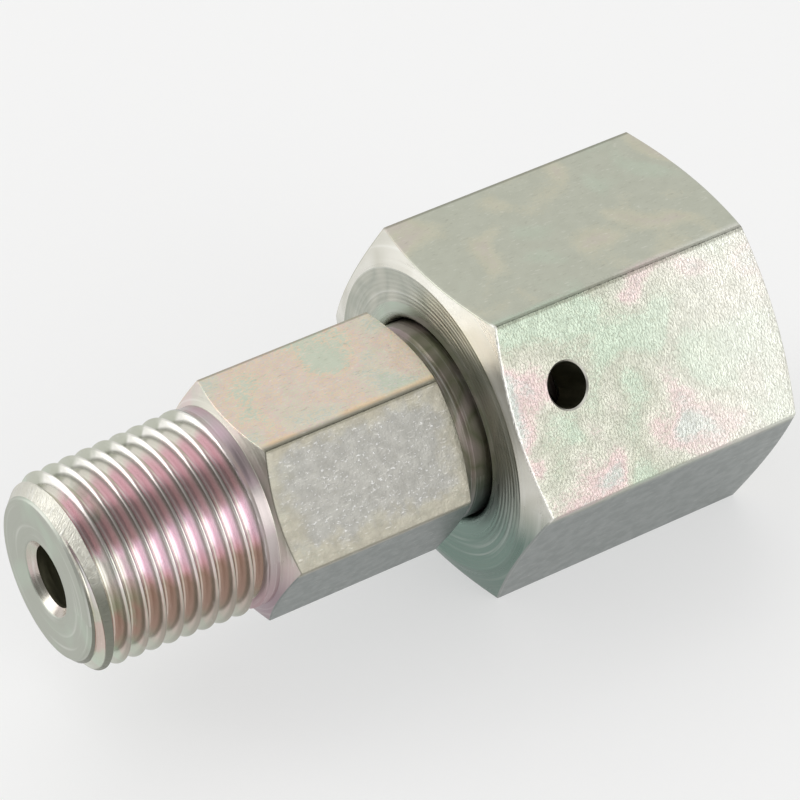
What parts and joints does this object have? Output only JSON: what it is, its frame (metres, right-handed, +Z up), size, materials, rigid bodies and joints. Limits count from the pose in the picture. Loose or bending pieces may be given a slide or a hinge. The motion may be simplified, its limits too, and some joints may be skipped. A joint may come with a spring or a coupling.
{
  "type": "hydraulic standpipe adapter",
  "caption": "Straight steel pipe adapter with a taper male thread, a spanner hexagon and a wire-held swivel nut over a sealed cone nose.",
  "frame": {"origin": "on the fitting's axis, at the centre of the taper thread's tip face", "axes": "+X along the axis from the taper thread to the swivel nut's open end, +Z up with one flat of the nut facing down"},
  "size_m": [0.0374, 0.0196, 0.017],
  "materials": {
    "plated_stud": "zinc plated, faintly iridescent",
    "plated_nut": "zinc plated, faintly iridescent",
    "spring_wire": "drawn wire, lightly oiled",
    "seal_rubber": "matte black"
  },
  "bodies": {
    "stud": {"stud_body": "plated_stud", "retaining_wire": "spring_wire", "cone_seal_ring": "seal_rubber"},
    "nut": {"swivel_nut": "plated_nut"}
  },
  "joints": [
    {"name": "nut_swivel", "type": "hinge", "parent": "stud", "child": "nut", "pos_m": [0.0295, 0, 0], "axis": [1, 0, 0], "continuous": true}
  ]
}
